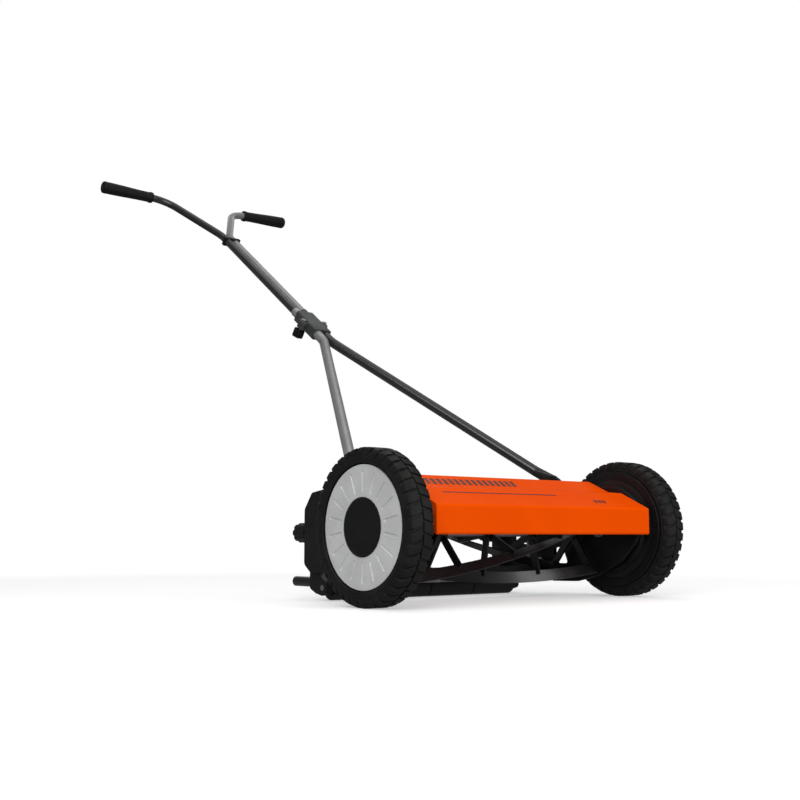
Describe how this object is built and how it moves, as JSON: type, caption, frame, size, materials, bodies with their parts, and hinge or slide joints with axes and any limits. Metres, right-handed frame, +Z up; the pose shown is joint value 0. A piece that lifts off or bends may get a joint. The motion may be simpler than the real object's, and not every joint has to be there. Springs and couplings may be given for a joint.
{
  "type": "reel mower",
  "caption": "Push reel mower: geared wheels turn a helical reel against a bed knife under a bent orange cover, with rear rollers and a two-part tube handle.",
  "frame": {"origin": "on the ground, at the middle of the mower's footprint", "axes": "+Y from the cover back to the grips, +X to the user's left along the wheel axles, +Z up"},
  "size_m": [0.648, 1.2397, 0.9521],
  "materials": {
    "orange_paint": "gloss powder coat",
    "frame_black": "moulded glass-filled nylon",
    "tyre_rubber": "moulded tread",
    "silver_disc": "satin silver",
    "cap_black": "fine moulded texture",
    "gear_nylon": "moulded",
    "bronze": "sintered",
    "plain_steel": "turned",
    "zinc_steel": "zinc plated",
    "black_paint": "satin black",
    "knife_steel": "ground edge",
    "roller_black": "moulded",
    "tube_grey": "gloss light grey powder coat",
    "tube_dark": "gloss dark grey powder coat",
    "clamp_grey": "moulded",
    "grip_rubber": "soft grip"
  },
  "bodies": {
    "frame": {"right_side_plate": "frame_black", "left_side_plate": "frame_black", "front_cover": "orange_paint", "cover_screws": "zinc_steel", "tie_rod": "plain_steel", "tie_rod_nuts": "zinc_steel", "right_axle": "plain_steel", "left_axle": "plain_steel", "reel_bearings": "plain_steel", "wheel_clips": "plain_steel", "pivot_bolts": "zinc_steel"},
    "right_wheel": {"right_tyre": "tyre_rubber", "right_rim": "frame_black", "right_ring_gear": "gear_nylon", "right_wheel_disc": "silver_disc", "right_hub_cap": "cap_black", "right_hub_bush": "bronze"},
    "left_wheel": {"left_tyre": "tyre_rubber", "left_rim": "frame_black", "left_ring_gear": "gear_nylon", "left_wheel_disc": "silver_disc", "left_hub_cap": "cap_black", "left_hub_bush": "bronze"},
    "reel": {"reel_shaft": "plain_steel", "reel_spiders": "black_paint", "reel_blade_1": "black_paint", "reel_blade_2": "black_paint", "reel_blade_3": "black_paint", "reel_blade_4": "black_paint", "reel_blade_5": "black_paint", "right_pinion": "plain_steel", "left_pinion": "plain_steel", "drive_pawls": "plain_steel"},
    "bed": {"bed_bar": "black_paint", "bed_knife": "knife_steel", "bed_knife_screws": "zinc_steel"},
    "right_bed_screw": {"right_bed_screw": "zinc_steel"},
    "left_bed_screw": {"left_bed_screw": "zinc_steel"},
    "roller_carriage": {"right_roller_arm": "frame_black", "left_roller_arm": "frame_black", "roller_axle": "plain_steel", "catcher_pins": "black_paint", "height_studs": "zinc_steel"},
    "roller_1": {"roller_1": "roller_black"},
    "roller_2": {"roller_2": "roller_black"},
    "roller_3": {"roller_3": "roller_black"},
    "roller_4": {"roller_4": "roller_black"},
    "right_height_knob": {"right_height_knob": "cap_black"},
    "left_height_knob": {"left_height_knob": "cap_black"},
    "handle_lower": {"right_lower_tube": "tube_grey", "left_lower_tube": "tube_dark", "clamp_base": "clamp_grey", "clamp_cap": "clamp_grey", "clamp_bolts": "zinc_steel"},
    "handle_upper": {"right_upper_tube": "tube_dark", "left_upper_tube": "tube_grey", "right_grip": "grip_rubber", "left_grip": "grip_rubber", "tube_clip": "cap_black"},
    "clamp_knob": {"clamp_knob": "cap_black"}
  },
  "joints": [
    {"name": "right_wheel_spin", "type": "hinge", "parent": "frame", "child": "right_wheel", "pos_m": [-0.3, -0.4949, 0.125], "axis": [1, 0, 0], "continuous": true},
    {"name": "left_wheel_spin", "type": "hinge", "parent": "frame", "child": "left_wheel", "pos_m": [0.3, -0.4949, 0.125], "axis": [1, 0, 0], "continuous": true},
    {"name": "reel_spin", "type": "hinge", "parent": "frame", "child": "reel", "pos_m": [0, -0.43963, 0.116], "axis": [1, 0, 0], "continuous": true},
    {"name": "bed_adjust", "type": "hinge", "parent": "frame", "child": "bed", "pos_m": [0, -0.3529, 0.064], "axis": [1, 0, 0], "range_deg": [0, 1.2]},
    {"name": "right_bed_screw_turn", "type": "hinge", "parent": "frame", "child": "right_bed_screw", "pos_m": [-0.212, -0.3339, 0.066], "axis": [0, 0, 1], "range_deg": [0, 115]},
    {"name": "left_bed_screw_turn", "type": "hinge", "parent": "frame", "child": "left_bed_screw", "pos_m": [0.212, -0.3339, 0.066], "axis": [0, 0, 1], "range_deg": [0, 115]},
    {"name": "height_slide", "type": "slide", "parent": "frame", "child": "roller_carriage", "axis": [0, 0, 1], "range_m": [-0.02, 0.025]},
    {"name": "roller_1_spin", "type": "hinge", "parent": "roller_carriage", "child": "roller_1", "pos_m": [-0.16237, -0.2699, 0.022], "axis": [1, 0, 0], "continuous": true},
    {"name": "roller_2_spin", "type": "hinge", "parent": "roller_carriage", "child": "roller_2", "pos_m": [-0.05412, -0.2699, 0.022], "axis": [1, 0, 0], "continuous": true},
    {"name": "roller_3_spin", "type": "hinge", "parent": "roller_carriage", "child": "roller_3", "pos_m": [0.05412, -0.2699, 0.022], "axis": [1, 0, 0], "continuous": true},
    {"name": "roller_4_spin", "type": "hinge", "parent": "roller_carriage", "child": "roller_4", "pos_m": [0.16237, -0.2699, 0.022], "axis": [1, 0, 0], "continuous": true},
    {"name": "right_height_knob_turn", "type": "hinge", "parent": "roller_carriage", "child": "right_height_knob", "pos_m": [-0.226, -0.2089, 0.117], "axis": [0, 1, 0], "range_deg": [0, 720]},
    {"name": "left_height_knob_turn", "type": "hinge", "parent": "roller_carriage", "child": "left_height_knob", "pos_m": [0.226, -0.2089, 0.117], "axis": [0, 1, 0], "range_deg": [0, 720]},
    {"name": "handle_tilt", "type": "hinge", "parent": "frame", "child": "handle_lower", "pos_m": [0, -0.3769, 0.2108], "axis": [1, 0, 0], "range_deg": [0, 65]},
    {"name": "handle_length", "type": "slide", "parent": "handle_lower", "child": "handle_upper", "axis": [0, 0.8053, 0.5929], "range_m": [-0.03, 0.03]},
    {"name": "clamp_knob_turn", "type": "hinge", "parent": "handle_lower", "child": "clamp_knob", "pos_m": [-0.0275, 0.10582, 0.55028], "axis": [0, -0.5929, 0.8053], "range_deg": [0, 720]}
  ],
  "couplings": [
    {"joint": "left_wheel_spin", "follows": "right_wheel_spin", "ratio": 1},
    {"joint": "reel_spin", "follows": "right_wheel_spin", "ratio": 5},
    {"joint": "right_bed_screw_turn", "follows": "bed_adjust", "ratio": 95.5},
    {"joint": "left_bed_screw_turn", "follows": "bed_adjust", "ratio": 95.5}
  ]
}
